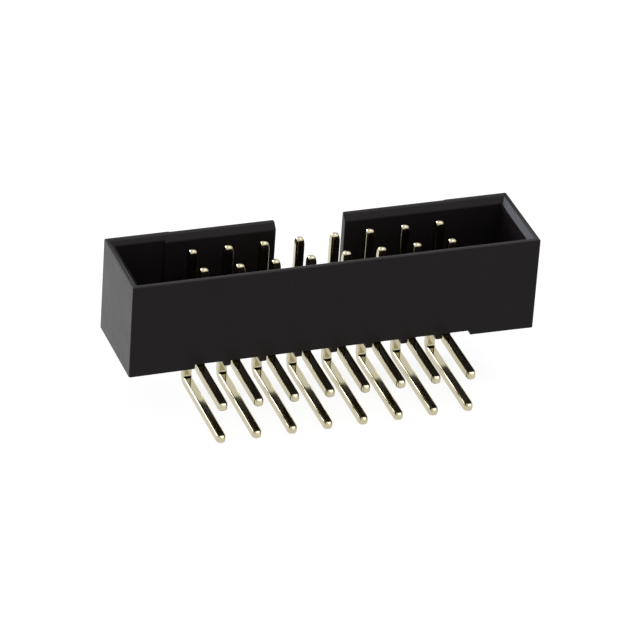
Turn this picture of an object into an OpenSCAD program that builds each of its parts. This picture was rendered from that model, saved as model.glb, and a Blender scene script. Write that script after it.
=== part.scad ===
// Right-angle box header for flat ribbon cable: a shrouded double row of bent contacts.
//
// Frame: +Z is the way the socket opens, +X runs along the header, -Y is the board side.
// The origin is under the middle of the part, level with the underside of the long tails,
// which is where the part rests when its socket faces up. Millimetres.

/* [Contacts] */
// Number of contacts in each of the two rows
columns = 8; // [3:1:25]
// Distance between neighbouring contacts, along a row and from row to row
pitch = 2; // [1.8:0.1:2.54]
// Side of the square contact wire
wire = 0.5; // [0.4:0.02:0.6]
// Rounding of the wire's four long edges
wire_edge = 0.1; // [0.04:0.01:0.16]
// Inside radius of the bend under the housing
bend_r = 0.15; // [0.1:0.05:0.35]
// How far the contact tips stay below the rim
tip_below_rim = 0.34; // [0.1:0.02:1]
// Length of the four-sided point on the mating end
point_l = 0.4; // [0.2:0.05:0.8]
// Side of the flat that ends the mating point
point_w = 0.25; // [0.15:0.01:0.34]
// How far the solder tails stand out past the board-side face
tail_reach = 2.8; // [1.5:0.1:4.5]
// Drop from the housing's feet to the centre of the short tails
tail_drop = 0.88; // [0.7:0.02:2]
// Length of the four-sided point on the solder end
tail_point_l = 0.25; // [0.1:0.05:0.5]
// Side of the flat that ends the solder point
tail_point_w = 0.28; // [0.15:0.01:0.34]

/* [Housing] */
// Room in the socket from the last contact to the end wall
end_room = 3.92; // [2.5:0.02:6]
// Room in the socket from a contact row to the side wall
side_room = 1.075; // [0.8:0.025:1.6]
// Thickness of the two end walls
end_wall = 0.53; // [0.4:0.01:1.2]
// Thickness of the two long side walls
side_wall = 0.62; // [0.45:0.01:1.2]
// Depth of the socket, from the rim to its floor
socket_depth = 4.2; // [3.2:0.1:7]
// Thickness of the floor that holds the contacts
floor_t = 0.97; // [0.7:0.01:2]
// Rounding of the four upright outer corners
corner_r = 0.1; // [0.05:0.01:0.3]
// Lead-in bevel around the inside of the rim
lead_in = 0.33; // [0.1:0.01:0.36]

/* [Key and relief] */
// Width of the key slot in the wall away from the board
slot_w = 3.92; // [2.5:0.02:4.5]
// Depth of the shallow relief on the outside of the key wall, between the end blocks
wall_relief = 0.05; // [0.02:0.01:0.15]
// Depth of the shallow pocket inside the key wall, at the far end from contact 1
pocket_relief = 0.1; // [0.02:0.01:0.15]
// Distance from the last contact to the start of that pocket
pocket_from = 1.2; // [0.9:0.05:2]
// Width of the triangle that marks contact 1
mark_w = 1.1; // [0.6:0.05:1.4]
// Height of that triangle
mark_h = 0.9; // [0.5:0.05:1.2]
// Depth of that triangle
mark_depth = 0.12; // [0.05:0.01:0.2]
// Distance from the rim to that triangle
mark_below_rim = 0.6; // [0.5:0.05:1.5]

/* [Underside] */
// Height of the feet and cross ribs that lift the floor
standoff = 0.3; // [0.15:0.05:0.6]
// Thickness of the ribs between the contact columns
rib_t = 0.4; // [0.3:0.02:0.8]

/* [Fits] */
// Gap on each side between a contact and its hole
contact_fit = 0.01; // [0.005:0.005:0.04]

/* [Hidden] */
$fn = 48;
eps = 0.05;   // how far a cut runs past the face it opens

housing_colour = "#262526";
contact_colour = "#d8bd7c";

row_length = pitch*(columns - 1);
socket_l = row_length + 2*end_room;
socket_w = pitch + 2*side_room;
housing_l = socket_l + 2*end_wall;
housing_w = socket_w + 2*side_wall;

// Heights, counted up from the surface that the long tails rest on
long_tail_z = wire/2;
short_tail_z = long_tail_z + pitch;
foot_z = short_tail_z + tail_drop;
underside_z = foot_z + standoff;
floor_z = underside_z + floor_t;
rim_z = floor_z + socket_depth;
tip_z = rim_z - tip_below_rim;

// Places along Y: the housing sits behind the tails, so that the whole part is centred
housing_y = tail_reach/2;
board_face_y = housing_y - housing_w/2;
key_face_y = housing_y + housing_w/2;
tail_end_y = board_face_y - tail_reach;
near_row_y = housing_y - pitch/2;
far_row_y = housing_y + pitch/2;

// Width of the open channels under the floor, one for each column
channel_w = pitch - rib_t;
// The key wall is relieved outside over the same stretch as the channels
relief_l = row_length + channel_w;

// Contact 1 is at the right-hand end of the row beside the key slot
function column_x(i) = row_length/2 - pitch*(i - 1);

// A flat rectangle with round corners, centred
module rounded_rect(l, w, r) {
    square([l - 2*r, w], center = true);
    square([l, w - 2*r], center = true);
    for (x = [-1, 1], y = [-1, 1])
        translate([x*(l/2 - r), y*(w/2 - r)]) circle(r);
}

module wire_section() {
    rounded_rect(wire, wire, wire_edge);
}

// A wedge along Y that narrows up Z to end_w at the height l
module taper(l, taper_l, end_w) {
    base = end_w/2 + (wire - end_w)/2*l/taper_l;
    rotate([90, 0, 0])
        linear_extrude(2*base, center = true)
            polygon([[-base, 0], [base, 0], [end_w/2, l], [-end_w/2, l]]);
}

// A straight length of wire up Z, with a four-sided point at its top
module pointed_wire(l, taper_l, end_w) {
    intersection() {
        linear_extrude(l) wire_section();
        taper(l, taper_l, end_w);
        rotate([0, 0, 90]) taper(l, taper_l, end_w);
    }
}

// One bent contact: a blade up through the floor, a quarter turn, and a tail to the board side
module contact(row_y, tail_z) {
    turn = bend_r + wire/2;
    bend_y = row_y - turn;
    bend_z = tail_z + turn;
    translate([0, row_y, bend_z])
        pointed_wire(tip_z - bend_z, point_l, point_w);
    translate([0, bend_y, bend_z])
        rotate([-90, 0, 0]) rotate([0, -90, 0])
            rotate_extrude(angle = 90)
                translate([turn, 0]) wire_section();
    translate([0, bend_y, tail_z])
        rotate([90, 0, 0])
            pointed_wire(bend_y - tail_end_y, tail_point_l, tail_point_w);
}

// The far row's contacts reach down to the long tails
module long_contact(i) {
    color(contact_colour)
        translate([column_x(i), 0, 0]) contact(far_row_y, long_tail_z);
}

// The near row's contacts turn sooner, one pitch above them
module short_contact(i) {
    color(contact_colour)
        translate([column_x(i), 0, 0]) contact(near_row_y, short_tail_z);
}

// A bar along X whose two long sides slope out at 45 degrees above the depth given
module flared_bar(l, w, depth) {
    rotate([90, 0, 90])
        linear_extrude(l, center = true)
            polygon([
                [-w/2, -depth], [w/2, -depth],
                [w/2 + depth + eps, eps], [-w/2 - depth - eps, eps]
            ]);
}

// The socket and its bevelled mouth
module socket() {
    translate([0, housing_y, (floor_z + rim_z + eps)/2])
        cube([socket_l, socket_w, socket_depth + eps], center = true);
    flare = 2*(lead_in + eps);
    translate([0, housing_y, rim_z])
        intersection() {
            flared_bar(socket_l + flare, socket_w, lead_in);
            rotate([0, 0, 90]) flared_bar(socket_w + flare, socket_l, lead_in);
        }
}

// The slot that takes the plug's key, open at the rim and down to the floor
module key_slot() {
    translate([-slot_w/2, housing_y, floor_z])
        cube([slot_w, housing_w/2 + eps, socket_depth + eps]);
}

// Relief outside the key wall, so that only the two end blocks stand at full width
module outer_relief() {
    translate([-relief_l/2, key_face_y - wall_relief, foot_z - eps])
        cube([relief_l, wall_relief + eps, rim_z - foot_z + 2*eps]);
}

// Shallow pocket inside the key wall, in the socket's end away from contact 1
module inner_pocket() {
    pocket_l = end_room - pocket_from;
    translate([-socket_l/2, housing_y + socket_w/2 - eps, floor_z])
        cube([pocket_l, pocket_relief + eps, socket_depth + eps]);
}

// Sunk triangle beside contact 1, pointing down at it
module contact_1_mark() {
    face_y = key_face_y - wall_relief;
    translate([column_x(1), face_y + eps, rim_z - mark_below_rim])
        rotate([90, 0, 0])
            linear_extrude(mark_depth + eps)
                polygon([[-mark_w/2, 0], [mark_w/2, 0], [0, -mark_h]]);
}

// Square holes in the floor for the contacts of one column
module contact_holes() {
    hole = wire + 2*contact_fit;
    for (y = [near_row_y, far_row_y])
        translate([0, y, (underside_z + floor_z)/2])
            cube([hole, hole, floor_t + 2*eps], center = true);
}

// Open channel under one column, from the board side to the key side
module channel() {
    translate([-channel_w/2, board_face_y - eps, foot_z - eps])
        cube([channel_w, housing_w + 2*eps, standoff + eps]);
}

module housing() {
    color(housing_colour)
        difference() {
            translate([0, housing_y, foot_z])
                linear_extrude(rim_z - foot_z)
                    rounded_rect(housing_l, housing_w, corner_r);
            socket();
            key_slot();
            outer_relief();
            inner_pocket();
            contact_1_mark();
            for (i = [1:columns])
                translate([column_x(i), 0, 0]) {
                    contact_holes();
                    channel();
                }
        }
}

housing();
for (i = [1:columns]) {
    long_contact(i);
    short_contact(i);
}
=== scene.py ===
# %% [markdown]
# # A right-angle box header
#
# A box header is the socket on a circuit board that a flat ribbon cable plugs into. It is a
# black plastic box, open at the top, moulded around nothing: the sixteen square contacts are
# pressed through its floor afterwards and then bent. The solid model already holds every
# piece at its real size, so this script adds what a drawing can't show: the rounded edges
# that a mould leaves, the finish of the plastic, the gold on the contacts, and the light.

import math

import bmesh
import bpy
from mathutils import Matrix, Vector


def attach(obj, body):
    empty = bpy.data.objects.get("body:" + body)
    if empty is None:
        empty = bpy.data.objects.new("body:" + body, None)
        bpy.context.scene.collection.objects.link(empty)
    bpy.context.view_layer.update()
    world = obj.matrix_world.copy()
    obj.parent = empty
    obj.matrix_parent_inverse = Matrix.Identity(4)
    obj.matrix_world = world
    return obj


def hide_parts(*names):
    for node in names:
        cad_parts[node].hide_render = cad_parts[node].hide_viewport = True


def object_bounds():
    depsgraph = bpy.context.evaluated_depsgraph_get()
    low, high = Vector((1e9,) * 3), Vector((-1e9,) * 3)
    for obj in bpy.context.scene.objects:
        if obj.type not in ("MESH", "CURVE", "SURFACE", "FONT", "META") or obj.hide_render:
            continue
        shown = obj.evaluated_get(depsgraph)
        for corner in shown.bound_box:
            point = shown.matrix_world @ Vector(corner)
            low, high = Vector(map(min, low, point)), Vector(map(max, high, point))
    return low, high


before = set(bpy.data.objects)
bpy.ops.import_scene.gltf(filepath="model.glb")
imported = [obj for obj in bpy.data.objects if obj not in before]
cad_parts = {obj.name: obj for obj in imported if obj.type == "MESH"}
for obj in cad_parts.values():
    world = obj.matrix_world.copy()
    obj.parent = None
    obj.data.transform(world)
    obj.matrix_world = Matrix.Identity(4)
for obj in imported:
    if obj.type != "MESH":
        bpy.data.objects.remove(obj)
cad_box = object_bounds()
MM = 0.001   # one millimetre, in Blender's metres

size = cad_box[1] - cad_box[0]
print("pieces:", len(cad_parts), "size in mm:", [round(s/MM, 2) for s in size])

# %% [markdown]
# Colours are easiest to choose as hex values, the way a paint or print shop writes them. Those
# are sRGB values, which are spaced for the eye. A shader adds and multiplies light, so it needs
# linear values. One function turns the first into the second, and nothing else in the script
# writes a colour by hand.

# %% Colours and shader nodes
def linear(hex_colour):
    """A linear RGBA tuple from an sRGB hex colour."""
    def channel(i):
        c = int(hex_colour.lstrip("#")[i:i + 2], 16)/255
        return c/12.92 if c <= 0.04045 else ((c + 0.055)/1.055)**2.4
    return channel(0), channel(2), channel(4), 1.0


def add_node(tree, kind, links=None, inputs=None, **settings):
    """Adds a node to tree. links maps its sockets to the sockets that feed them."""
    node = tree.nodes.new(kind)
    for name, value in settings.items():
        setattr(node, name, value)
    for name, value in (inputs or {}).items():
        node.inputs[name].default_value = value
    for name, source in (links or {}).items():
        tree.links.new(source, node.inputs[name])
    return node


def new_material(name):
    """A material without any nodes yet, and its node tree."""
    material = bpy.data.materials.new(name)
    material.use_nodes = True
    material.node_tree.nodes.clear()
    return material, material.node_tree


print("mid grey in linear light:", round(linear("#808080")[0], 3))

# %% [markdown]
# ## The housing's edges
#
# A drawing has knife edges. A moulding doesn't: the melt never quite fills the sharp corners of
# the steel, so each outer edge ends up with a radius of a few hundredths of a millimetre. It is
# tiny, but it is what draws the bright line around the rim, because somewhere on that curve
# there is always a spot that faces a lamp. The edges of the shallow reliefs and of the contact
# holes are finer, so they get a smaller radius.
#
# A Bevel node would fake it in the shader. Real geometry is better here, because it also
# survives in the finished mesh. So the housing's mesh is copied, its triangles are joined back
# into flat faces, and only the outward edges are rounded. The inward ones stay sharp, as they
# were cut by the corners of the mould's own steel. The work is done in millimetres, since
# Blender's mesh tools round off at sizes near a micrometre.

# %% Round the housing's edges
EDGE_RADIUS = 0.08               # mm
FINE_RADIUS = 0.02               # mm, beside narrow faces and on small low edges
NARROW = 0.2                     # mm, a face this narrow has no room for the larger radius
SHORT = 0.6                      # mm, the holes' edges and the ribs' ends are shorter than this
LOW = 5.0                        # mm, height below which short edges count as fine
SHARP_ANGLE = math.radians(30)   # the facets of a rounded corner meet at less than this
FLAT_ANGLE = math.radians(0.5)   # triangles that meet at less than this are one flat face
SAME_PLACE = 1e-4                # mm, corners closer than this are one


def is_fine(edge):
    """True for an edge beside a narrow face, and for the short edges under the floor."""
    a, b = (v.co for v in edge.verts)
    along = (b - a).normalized()
    def reach(face):
        return max((v.co - a - along*along.dot(v.co - a)).length for v in face.verts)
    low = max(a.z, b.z) < LOW and edge.calc_length() < SHORT
    return low or min(reach(f) for f in edge.link_faces) < NARROW


def rounded_copy(node, name):
    """A copy of a solid's mesh with its outward edges rounded."""
    bm = bmesh.new()
    bm.from_mesh(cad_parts[node].data)
    bm.transform(Matrix.Scale(1/MM, 4))
    bmesh.ops.remove_doubles(bm, verts=bm.verts, dist=SAME_PLACE)
    bmesh.ops.dissolve_limit(bm, angle_limit=FLAT_ANGLE, verts=bm.verts, edges=bm.edges)
    outward = [e for e in bm.edges if e.is_convex and e.calc_face_angle() > SHARP_ANGLE]
    fine = [is_fine(e) for e in outward]
    for small, radius, steps in ((False, EDGE_RADIUS, 4), (True, FINE_RADIUS, 2)):
        chosen = [e for e, f in zip(outward, fine) if f == small and e.is_valid]
        bmesh.ops.bevel(
            bm, geom=chosen, offset=radius, offset_type="OFFSET", segments=steps, profile=0.5,
            affect="EDGES", clamp_overlap=False)
    for face in bm.faces:
        face.smooth = True
    for edge in bm.edges:
        edge.smooth = edge.calc_face_angle(0) < SHARP_ANGLE*1.2
    bm.transform(Matrix.Scale(MM, 4))
    mesh = bpy.data.meshes.new(name)
    bm.to_mesh(mesh)
    open_edges = sum(not e.is_manifold for e in bm.edges)
    bm.free()
    piece = bpy.data.objects.new(name, mesh)
    bpy.context.scene.collection.objects.link(piece)
    weights = piece.modifiers.new("Keep flats flat", "WEIGHTED_NORMAL")
    weights.keep_sharp = True
    print(name, "rounded edges:", len(outward), "faces:", len(mesh.polygons),
          "open edges:", open_edges)
    return piece


housing = rounded_copy("housing", "moulded_housing")
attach(housing, "root")
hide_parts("housing")

# %% [markdown]
# ## The black plastic
#
# The housing is PBT, a polyester that stands the heat of soldering, filled with fine glass
# fibre and coloured with carbon black. The mould's steel was finished by spark erosion, which
# leaves a fine even grain of pits. To the eye that gives a very dark body, a soft sheen that
# spreads each lamp into a broad patch, and edges that catch the light.
#
# An image of plastic could be wrapped around the part, but noise in the object's own space needs
# no unwrapping and keeps its scale on every face. Three sizes of it are used: the erosion grain
# and the shallow waves of shrinkage for the bump, and a cloudy change of gloss and shade where
# the fibres lie nearer the skin.
#
# The IOR is typical for the material. The level of mirror light is set well below the usual 0.5:
# it was matched to how black the moulding looks in a white tent, and isn't measured.

# %% Make the plastic
GRAIN = 0.09       # mm, width of an erosion pit, drawn about twice its real size so that it shows
WAVE = 0.8         # mm, width of the shallow waves that the shrinking plastic leaves
CLOUD = 2.2        # mm, width of the patches where the gloss changes
MIRROR_LEVEL = 0.1   # share of mirror light, where 0.5 is what the IOR alone gives


def moulded_pbt():
    material, tree = new_material("moulded_glass_filled_PBT_black")
    place = add_node(tree, "ShaderNodeTexCoord").outputs["Object"]
    grain = add_node(
        tree, "ShaderNodeTexNoise", {"Vector": place},
        {"Scale": 1/(GRAIN*MM), "Detail": 2.0, "Roughness": 0.6})
    cloud = add_node(
        tree, "ShaderNodeTexNoise", {"Vector": place},
        {"Scale": 1/(CLOUD*MM), "Detail": 4.0, "Roughness": 0.65})
    shade = add_node(
        tree, "ShaderNodeMix", {"Factor": cloud.outputs["Fac"]}, data_type="RGBA")
    shade.inputs["A"].default_value = linear("#262122")
    shade.inputs["B"].default_value = linear("#2e2a2c")
    gloss = add_node(
        tree, "ShaderNodeMapRange", {"Value": cloud.outputs["Fac"]},
        {"From Min": 0.3, "From Max": 0.7, "To Min": 0.21, "To Max": 0.29})
    waves = add_node(
        tree, "ShaderNodeTexNoise", {"Vector": place},
        {"Scale": 1/(WAVE*MM), "Detail": 1.0, "Roughness": 0.5})
    sunk = add_node(
        tree, "ShaderNodeBump", {"Height": waves.outputs["Fac"]},
        {"Strength": 0.35, "Distance": 0.02*MM})
    pits = add_node(
        tree, "ShaderNodeBump", {"Height": grain.outputs["Fac"], "Normal": sunk.outputs["Normal"]},
        {"Strength": 0.2, "Distance": 0.004*MM})
    skin = add_node(
        tree, "ShaderNodeBsdfPrincipled",
        {"Base Color": shade.outputs["Result"], "Roughness": gloss.outputs["Result"],
         "Normal": pits.outputs["Normal"]},
        {"IOR": 1.5, "Metallic": 0.0, "Specular IOR Level": MIRROR_LEVEL})
    add_node(tree, "ShaderNodeOutputMaterial", {"Surface": skin.outputs["BSDF"]})
    return material


def give(piece, material):
    """Puts one material in every slot of a piece."""
    if not piece.material_slots:
        piece.data.materials.append(material)
    for slot in piece.material_slots:
        slot.material = material


plastic = moulded_pbt()
give(housing, plastic)
print("plastic:", plastic.name, "nodes:", len(plastic.node_tree.nodes))

# %% [markdown]
# ## The contacts
#
# Each contact is cut from square wire, drawn through a die and coined between two small jaws
# at both ends. Coining doesn't cut four clean facets: the metal flows, so the point comes out
# as a small four-sided dome. Then the wire is pressed through the housing and bent.
#
# The solids have plain four-sided points. Here each contact is made again as one skin, by
# carrying the wire's section along its path: up the point, along the tail, around the bend and
# up to the other point. The section shrinks and gets rounder towards both ends. The lengths and
# places come from the boxes of the solids. The wire's side, its edges and its bend are given
# here again, and have to be changed here too if the solid model's are.
#
# The skin knows the true direction of its surface at every corner, which keeps the four faces
# of the wire flat and mirror-like and its edges round with few faces. It also stores how far
# each place lies along and around the wire, for the finish that comes next.

# %% Carry the wire's section along its path
WIRE = 0.5            # mm, side of the square wire
WIRE_EDGE = 0.1       # mm, radius of its long edges
TURN = 0.4            # mm, radius of the bend at the middle of the wire
ROUNDEST = 0.9        # share of the half width that the edges' radius reaches at the ends
WORN_BY = 0.1         # mm, loss of half width at which it does
CORNER_STEPS = 4      # faces around each long edge
BEND_STEPS = 12       # lengths that the bend is made of

# Half the wire's width at some distances from its ends, in mm. The plug's end is blunter.
SOLDER_POINT = [(0.0, 0.085), (0.02, 0.12), (0.06, 0.157), (0.12, 0.193), (0.19, 0.222),
                (0.28, 0.241), (0.40, 0.25)]
PLUG_POINT = [(0.0, 0.15), (0.02, 0.18), (0.06, 0.204), (0.12, 0.22), (0.19, 0.234),
              (0.28, 0.244), (0.40, 0.25)]


def box_of(node):
    """The corners of a solid's box, in millimetres."""
    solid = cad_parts[node]
    spots = [solid.matrix_world @ Vector(c)/MM for c in solid.bound_box]
    return [Vector(pick(p[i] for p in spots) for i in range(3)) for pick in (min, max)]


def stations(low, high):
    """Places along the wire from tail to tip: distance run, centre, heading and half width."""
    back, base = high.y - WIRE/2, low.z + WIRE/2
    straight = back - TURN - low.y
    rows = [(t, (low.y + t, base), (1, 0), w) for t, w in SOLDER_POINT]
    for i in range(BEND_STEPS + 1):
        a = math.pi/2*i/BEND_STEPS
        centre = (back - TURN + TURN*math.sin(a), base + TURN*(1 - math.cos(a)))
        rows.append((straight + TURN*a, centre, (math.cos(a), math.sin(a)), WIRE/2))
    length = straight + TURN*math.pi/2 + high.z - base - TURN
    rows += [(length - t, (back, high.z - t), (0, 1), w) for t, w in reversed(PLUG_POINT)]
    return rows


def section(half):
    """The outline of the wire's section: places and directions, from its seam."""
    plain = WIRE_EDGE/(WIRE/2)
    worn = min(1.0, (WIRE/2 - half)/WORN_BY)
    radius = half*(plain + (ROUNDEST - plain)*worn)
    spots = []
    for corner in range(4):
        for step in range(CORNER_STEPS + 1):
            a = math.pi/2*(corner - 1 + step/CORNER_STEPS)
            mid = math.pi/4 + math.pi/2*(corner - 1)
            middle = Vector((math.copysign(half - radius, math.cos(mid)),
                             math.copysign(half - radius, math.sin(mid))))
            out = Vector((math.cos(a), math.sin(a)))
            spots.append((middle + out*radius, out))
    return spots


def wire_skin(name, node):
    """A mesh of one bent contact, centred on x = 0."""
    rows = stations(*box_of(node))
    full = [place for place, out in section(WIRE/2)]
    count = len(full)
    around = [0.0]
    for j in range(count):
        around.append(around[-1] + (full[(j + 1) % count] - full[j]).length)
    spots, normals, faces, places = [], [], [], []
    for i, (run, centre, heading, half) in enumerate(rows):
        before, after = rows[max(i - 1, 0)], rows[min(i + 1, len(rows) - 1)]
        slope = (after[3] - before[3])/(after[0] - before[0])
        along = Vector((0, heading[0], heading[1]))
        side, up = Vector((1, 0, 0)), Vector((0, -heading[1], heading[0]))
        for place, out in section(half):
            spots.append(Vector((0, centre[0], centre[1])) + side*place.x + up*place.y)
            normals.append((side*out.x + up*out.y - along*slope).normalized())
    for i in range(len(rows) - 1):
        for j in range(count):
            k = (j + 1) % count
            ring, following = i*count, (i + 1)*count
            faces.append((ring + k, ring + j, following + j, following + k))
            places.append([(around[j + 1], rows[i][0]), (around[j], rows[i][0]),
                           (around[j], rows[i + 1][0]), (around[j + 1], rows[i + 1][0])])
    for i, sign in ((0, -1), (len(rows) - 1, 1)):
        run, centre, heading, half = rows[i]
        along = Vector((0, heading[0], heading[1]))*sign
        spots.append(Vector((0, centre[0], centre[1])))
        normals.append(along)
        for j in range(count):
            ends = (i*count + j, i*count + (j + 1) % count)
            faces.append((len(spots) - 1, *(ends if sign < 0 else reversed(ends))))
            places.append([(around[j], run)]*3)
    mesh = bpy.data.meshes.new(name)
    mesh.from_pydata([p*MM for p in spots], [], faces)
    mesh.shade_smooth()
    mesh.normals_split_custom_set_from_vertices(normals)
    layer = mesh.uv_layers.new(name="around_and_along")
    for face, corners in zip(mesh.polygons, places):
        for loop, place in zip(face.loop_indices, corners):
            layer.data[loop].uv = place
    return mesh


contacts = []
for kind in ("long_contact", "short_contact"):
    skin = wire_skin(kind + "_skin", kind + "_1")
    for i in range(1, sum(n.startswith(kind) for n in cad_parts) + 1):
        low, high = box_of(f"{kind}_{i}")
        contact = bpy.data.objects.new(f"coined_{kind}_{i}", skin)
        contact.location.x = (low.x + high.x)/2*MM
        bpy.context.scene.collection.objects.link(contact)
        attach(contact, "root")
        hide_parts(f"{kind}_{i}")
        contacts.append(contact)
print("contacts:", len(contacts), "faces each:", len(contacts[0].data.polygons))

# %% [markdown]
# The wire is plated with nickel and then with a thin flash of gold, which is paler and cooler
# than a thick one. The plating follows every line that the die drew along the wire, so the
# reflections are sharp across the wire and a little torn along it. Noise stretched along one
# axis of the object would run the wrong way after the bend. Taken from the stored distances
# along and around the wire, the same noise follows the bend. The colour was matched to how pale
# the contacts look, and is duller than that of thick gold.

# %% Make the gold
DRAW_LINE = 0.035     # mm, width of a line that the die left
DRAW_LENGTH = 1.6     # mm, how far such a line runs before it fades
SMEAR = 0.5           # mm, width of the patches where the plating is a little duller


def flash_gold():
    material, tree = new_material("flash_gold_on_drawn_brass")
    coordinates = add_node(tree, "ShaderNodeTexCoord")
    stretch = add_node(
        tree, "ShaderNodeMapping", {"Vector": coordinates.outputs["UV"]},
        {"Scale": (1/DRAW_LINE, 1/DRAW_LENGTH, 1.0)})
    lines = add_node(
        tree, "ShaderNodeTexNoise", {"Vector": stretch.outputs["Vector"]},
        {"Scale": 1.0, "Detail": 2.0, "Roughness": 0.5})
    cloud = add_node(
        tree, "ShaderNodeTexNoise", {"Vector": coordinates.outputs["Object"]},
        {"Scale": 1/(SMEAR*MM), "Detail": 3.0, "Roughness": 0.6})
    gloss = add_node(
        tree, "ShaderNodeMapRange", {"Value": cloud.outputs["Fac"]},
        {"From Min": 0.3, "From Max": 0.7, "To Min": 0.06, "To Max": 0.13})
    shade = add_node(
        tree, "ShaderNodeMix", {"Factor": cloud.outputs["Fac"]}, data_type="RGBA")
    shade.inputs["A"].default_value = linear("#beb596")
    shade.inputs["B"].default_value = linear("#c9c1a6")
    drawn = add_node(
        tree, "ShaderNodeBump", {"Height": lines.outputs["Fac"]},
        {"Strength": 0.3, "Distance": 0.0015*MM})
    plate = add_node(
        tree, "ShaderNodeBsdfPrincipled",
        {"Base Color": shade.outputs["Result"], "Roughness": gloss.outputs["Result"],
         "Normal": drawn.outputs["Normal"]},
        {"Metallic": 1.0})
    add_node(tree, "ShaderNodeOutputMaterial", {"Surface": plate.outputs["BSDF"]})
    return material


gold = flash_gold()
for contact in contacts:
    give(contact, gold)
print("gold:", gold.name, "nodes:", len(gold.node_tree.nodes))

# %% [markdown]
# ## The floor and the light tent
#
# The header stands on a white card inside a tent of white cloth. Whatever is seen directly,
# mirrored in the gold or seen through glass meets the same white, so the metal shows the
# background that it stands in. Scattered light gets the tent's plain, softer strength, and the
# card keeps the header's shadow.

# %% Floor and world
FLOOR_SIDE = 3.0     # m, far past the edges of the picture
FLOOR_DROP = 0.002   # mm, gap under the tails, so that the surfaces don't coincide
FLOOR_GLOW = 0.88    # what the floor adds to the light that it scatters, to reach white
SOFT_LIGHT = 0.40    # strength of the world's light on dull surfaces, where white is 1


def background_share(tree):
    """1 for what is seen directly, mirrored or through glass, 0 for light that is scattered."""
    path = add_node(tree, "ShaderNodeLightPath").outputs
    mirrored = add_node(
        tree, "ShaderNodeMath", {0: path["Is Camera Ray"], 1: path["Is Glossy Ray"]},
        operation="MAXIMUM").outputs[0]
    return add_node(
        tree, "ShaderNodeMath", {0: mirrored, 1: path["Is Transmission Ray"]},
        operation="MAXIMUM").outputs[0]


def make_floor():
    bpy.ops.mesh.primitive_plane_add(size=FLOOR_SIDE, location=(0, 0, -FLOOR_DROP*MM))
    floor = bpy.context.object
    floor.name = "floor"
    material, tree = new_material("white_card")
    strength = add_node(
        tree, "ShaderNodeMath", {0: background_share(tree)}, {1: FLOOR_GLOW},
        operation="MULTIPLY").outputs[0]
    shaded = add_node(tree, "ShaderNodeBsdfDiffuse", inputs={"Color": linear("#949494")})
    glow = add_node(
        tree, "ShaderNodeEmission", {"Strength": strength}, {"Color": linear("#ffffff")})
    white = add_node(tree, "ShaderNodeAddShader", {0: shaded.outputs[0], 1: glow.outputs[0]})
    add_node(tree, "ShaderNodeOutputMaterial", {"Surface": white.outputs[0]})
    give(floor, material)
    return floor


def make_world():
    world = bpy.data.worlds.new("light_tent")
    bpy.context.scene.world = world
    world.use_nodes = True
    tree = world.node_tree
    tree.nodes.clear()
    strength = add_node(
        tree, "ShaderNodeMapRange", {"Value": background_share(tree)},
        {"To Min": SOFT_LIGHT, "To Max": 1.0}).outputs["Result"]
    tent = add_node(
        tree, "ShaderNodeBackground", {"Strength": strength}, {"Color": linear("#ffffff")})
    add_node(tree, "ShaderNodeOutputWorld", {"Surface": tent.outputs[0]})


floor = make_floor()
make_world()
print("floor", [round(d, 2) for d in floor.dimensions])

# %% [markdown]
# ## The lamps
#
# Black and gold are both shown by what they reflect, so the lamps are soft boxes, placed where
# the rim and the wires can see them. The strong one stands low at the back left and draws the
# bright lines on the rounded edges. The broad one overhead lights the points of the contacts.
# The one above the camera is weak, because the bevel inside the rear wall mirrors it straight
# back to the camera.

# %% Lamps
centre = (cad_box[0] + cad_box[1])/2


def soft_box(name, direction, distance, side, power, colour="#ffffff"):
    """A square lamp that faces the header from a direction."""
    lamp = bpy.data.lights.new(name, "AREA")
    lamp.shape = "SQUARE"
    lamp.size = side
    lamp.energy = power
    lamp.color = linear(colour)[:3]
    holder = bpy.data.objects.new(name, lamp)
    towards = Vector(direction).normalized()
    holder.location = centre + towards*distance
    holder.rotation_euler = towards.to_track_quat("Z", "Y").to_euler()
    bpy.context.scene.collection.objects.link(holder)
    return holder


soft_box("overhead", (0.3, 0.08, 1.0), 0.40, 0.24, 0.34)
soft_box("back_left", (-0.60, 0.76, 0.32), 0.35, 0.17, 0.60, "#eef4ff")
soft_box("above_camera", (0.28, -0.60, 0.75), 0.40, 0.20, 0.05, "#fffaf2")

# %% [markdown]
# ## The camera
#
# A long lens from a little over a quarter of a metre away looks down at the side that faces the
# board, where the tails come out.

# %% Camera
AIM = Vector((-0.40, 0.05, 4.41))*MM
DISTANCE = 262.0*MM
ELEVATION = math.radians(30.8)
AZIMUTH = math.radians(-20.85)   # the camera stands this far round from the front, to the left
ROLL = math.radians(4.05)
LENS_LENGTH = 274.9              # mm
SENSOR_WIDTH = 36.0              # mm

lens = bpy.data.cameras.new("camera")
lens.lens = LENS_LENGTH
lens.sensor_width = SENSOR_WIDTH
turn = (
    Matrix.Rotation(AZIMUTH, 3, "Z")
    @ Matrix.Rotation(math.pi/2 - ELEVATION, 3, "X")
    @ Matrix.Rotation(ROLL, 3, "Z"))
camera = bpy.data.objects.new("camera", lens)
camera.matrix_world = Matrix.Translation(AIM + turn @ Vector((0, 0, DISTANCE))) @ turn.to_4x4()
bpy.context.scene.collection.objects.link(camera)
bpy.context.scene.camera = camera
bpy.context.scene.view_settings.view_transform = "Standard"
print("camera at mm", [round(c/MM, 2) for c in camera.location])

# %% [markdown]
# ## The sizes
#
# Rounding an edge or a point mustn't make the part larger, so the box around everything has to
# The box that was loaded is printed.

# %% The solid model's box
print("solid model", [tuple(round(c/MM, 3) for c in p) for p in cad_box])
